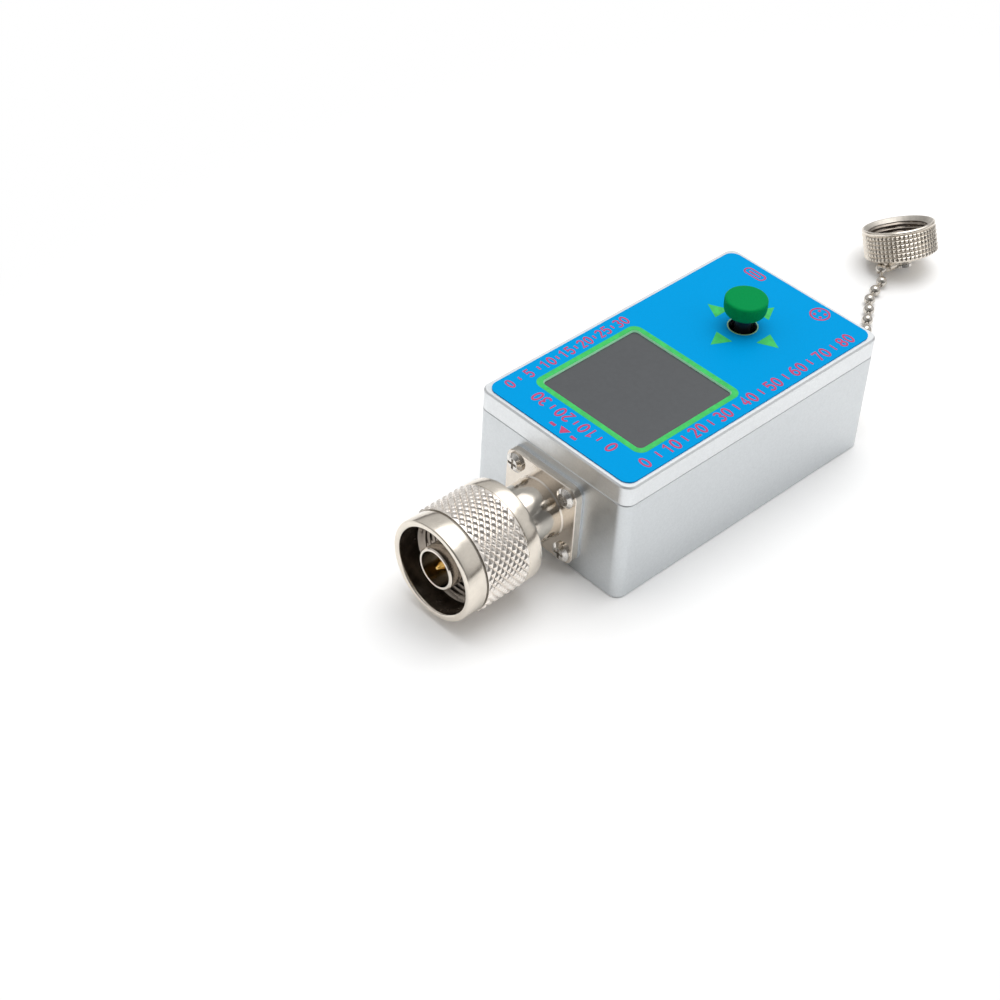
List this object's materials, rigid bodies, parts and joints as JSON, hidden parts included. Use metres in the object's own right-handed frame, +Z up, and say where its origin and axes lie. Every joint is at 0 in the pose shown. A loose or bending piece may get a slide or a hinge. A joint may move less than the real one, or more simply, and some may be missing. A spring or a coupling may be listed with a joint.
{
  "type": "rf power meter",
  "caption": "Pocket RF power meter: flat aluminium case with a screen and a joystick on its lid, a coaxial input with a knurled coupling nut, rear ports and a chained dust cap.",
  "frame": {"origin": "middle of the case's underside", "axes": "+X along the case away from the coaxial input, +Z up out of the lid"},
  "size_m": [0.1562, 0.042, 0.0327],
  "materials": {
    "case": "sandblasted and silver anodised",
    "label": "printed film",
    "lens": "smoked clear sheet",
    "display": "glossy",
    "white_plastic": "moulded",
    "ribbon": "flexible film",
    "board": "solder mask",
    "brass": "turned",
    "gilt": "gilt",
    "screw": "nickel plated",
    "tin": "tinned",
    "black_plastic": "moulded",
    "knob": "satin moulded",
    "nickel": "nickel plated",
    "spacer_plate": "satin",
    "sealing": "moulded",
    "wire": "insulated"
  },
  "bodies": {
    "meter": {"bottom_shell": "case", "top_lid": "case", "lid_screws": "screw", "front_label": "label", "display_window": "lens", "display_glass": "display", "display_holder": "white_plastic", "display_ribbon": "ribbon", "ribbon_socket": "white_plastic", "display_board": "board", "signal_board": "board", "board_spacers": "brass", "board_screws": "screw", "header_block": "black_plastic", "header_pins": "gilt", "shield_can": "tin", "chips": "black_plastic", "switch_housing": "black_plastic", "switch_cover": "tin", "switch_dome": "tin", "input_body": "nickel", "flange_spacer": "spacer_plate", "flange_screws": "screw", "dielectric_sleeve": "white_plastic", "centre_pin": "gilt", "retaining_clip": "screw", "input_gasket": "sealing", "data_port_shell": "tin", "data_port_tongue": "black_plastic", "serial_socket": "nickel", "serial_insulator": "black_plastic", "serial_pins": "gilt", "serial_washer": "screw", "serial_nut": "nickel", "serial_wires": "wire", "chain_eyelet": "nickel", "ball_chain": "nickel", "cap_tag": "nickel", "cap_rivet": "screw"},
    "nut": {"coupling_nut": "nickel"},
    "rocker": {"switch_ring": "black_plastic"},
    "cradle": {"switch_sleeve": "black_plastic"},
    "stick": {"joystick_stem": "black_plastic", "joystick_cap": "knob"},
    "cap": {"dust_cap": "nickel", "cap_seal": "sealing"}
  },
  "joints": [
    {"name": "nut_turn", "type": "hinge", "parent": "meter", "child": "nut", "pos_m": [-0.053, 0, 0.0112], "axis": [-1, 0, 0], "continuous": true},
    {"name": "stick_tilt_x", "type": "hinge", "parent": "meter", "child": "rocker", "pos_m": [0.0161, 0, 0.0206], "axis": [1, 0, 0], "range_deg": [-6, 6], "stiffness_Nm_per_rad": 0.1},
    {"name": "stick_tilt_y", "type": "hinge", "parent": "rocker", "child": "cradle", "pos_m": [0.0161, 0, 0.0206], "axis": [0, 1, 0], "range_deg": [-6, 6], "stiffness_Nm_per_rad": 0.1},
    {"name": "stick_press", "type": "slide", "parent": "cradle", "child": "stick", "axis": [0, 0, -1], "range_m": [0, 0.00035], "stiffness_N_per_m": 3000},
    {"name": "cap_swivel", "type": "hinge", "parent": "meter", "child": "cap", "pos_m": [0.0861, 0.0136, 0.00304], "axis": [0.1173, 0.4175, 0.9011], "continuous": true}
  ]
}
